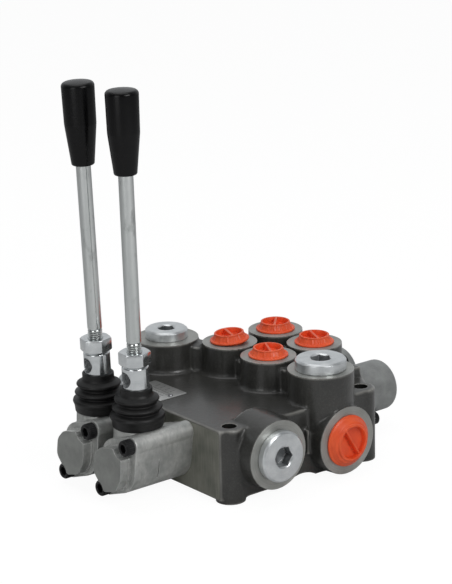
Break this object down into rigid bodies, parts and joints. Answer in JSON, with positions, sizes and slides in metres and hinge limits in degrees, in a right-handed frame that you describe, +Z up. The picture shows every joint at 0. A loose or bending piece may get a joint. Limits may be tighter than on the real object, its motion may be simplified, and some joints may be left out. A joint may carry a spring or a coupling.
{
  "type": "hydraulic monoblock valve",
  "caption": "Manual two-spool hydraulic monoblock directional valve with hand levers, spring-centred spools, a relief valve, capped work ports and plugged side ports.",
  "frame": {"origin": "axis of the front-left mounting hole, at the foot of its lug", "axes": "+X along the spools from the lever end to the rear caps, +Y from the front port face to the back, +Z up, out of the work ports"},
  "size_m": [0.2249, 0.1866, 0.2531],
  "materials": {
    "body": "dark grey satin paint on a sand casting, machined port faces",
    "spool": "ground and hardened",
    "steel_part": "machined",
    "zinc": "bright zinc plate",
    "lever_steel": "bright plated bar",
    "alloy": "as die cast",
    "black_screw": "black oxide",
    "boot": "matte moulded rubber",
    "seal": "moulded rubber",
    "knob": "glossy black moulding",
    "orange_cap": "moulded plastic, slight gloss",
    "ring": "natural nylon",
    "plate": "thin brushed sheet"
  },
  "bodies": {
    "valve": {"valve_body": "body", "spool_seals": "seal", "lever_housing_1": "alloy", "lever_housing_2": "alloy", "housing_screws": "black_screw", "pivot_ring_1": "ring", "pivot_ring_2": "ring", "lever_boot_1": "boot", "lever_boot_2": "boot", "rear_cap_1": "alloy", "rear_cap_2": "alloy", "rear_cap_screws": "black_screw", "centring_spring_1": "steel_part", "centring_spring_2": "steel_part", "spring_seats_1": "steel_part", "spring_seats_2": "steel_part", "port_cap_a1": "orange_cap", "port_cap_b1": "orange_cap", "port_cap_a2": "orange_cap", "port_cap_b2": "orange_cap", "front_port_cap": "orange_cap", "back_port_cap": "orange_cap", "top_plug_front": "zinc", "top_plug_back": "zinc", "front_plug": "zinc", "plug_seals": "seal", "check_spring": "steel_part", "relief_cartridge": "zinc", "relief_spring": "steel_part", "relief_adjuster": "black_screw", "relief_lock_nut": "zinc", "name_plate": "plate", "plate_rivets": "steel_part"},
    "lever_1": {"lever_pivot_1": "steel_part", "lever_socket_1": "zinc", "lock_nut_1": "zinc", "lever_rod_1": "lever_steel", "lever_knob_1": "knob"},
    "lever_2": {"lever_pivot_2": "steel_part", "lever_socket_2": "zinc", "lock_nut_2": "zinc", "lever_rod_2": "lever_steel", "lever_knob_2": "knob"},
    "spool_slide_1": {"spool_1": "spool", "spool_bolt_1": "steel_part"},
    "spool_slide_2": {"spool_2": "spool", "spool_bolt_2": "steel_part"},
    "check_poppet": {"check_poppet": "steel_part"},
    "relief_poppet": {"relief_poppet": "steel_part"}
  },
  "joints": [
    {"name": "lever_swing_1", "type": "hinge", "parent": "valve", "child": "lever_1", "pos_m": [-0.037, 0.042, 0.044], "axis": [0, 1, 0], "range_deg": [-20, 20], "stiffness_Nm_per_rad": 3, "deforming": ["lever_boot_1"]},
    {"name": "lever_swing_2", "type": "hinge", "parent": "valve", "child": "lever_2", "pos_m": [-0.037, 0.0805, 0.044], "axis": [0, 1, 0], "range_deg": [-20, 20], "stiffness_Nm_per_rad": 3, "deforming": ["lever_boot_2"]},
    {"name": "spool_travel_1", "type": "slide", "parent": "valve", "child": "spool_slide_1", "axis": [1, 0, 0], "range_m": [-0.0066, 0.0066], "deforming": ["centring_spring_1"]},
    {"name": "spool_travel_2", "type": "slide", "parent": "valve", "child": "spool_slide_2", "axis": [1, 0, 0], "range_m": [-0.0066, 0.0066], "deforming": ["centring_spring_2"]},
    {"name": "check_lift", "type": "slide", "parent": "valve", "child": "check_poppet", "axis": [0, 0, 1], "range_m": [0, 0.004], "deforming": ["check_spring"]},
    {"name": "relief_lift", "type": "slide", "parent": "valve", "child": "relief_poppet", "axis": [0, 1, 0], "range_m": [0, 0.002], "deforming": ["relief_spring"]}
  ],
  "couplings": [
    {"joint": "spool_travel_1", "follows": "lever_swing_1", "m_per_rad": -0.0187},
    {"joint": "spool_travel_2", "follows": "lever_swing_2", "m_per_rad": -0.0187}
  ]
}
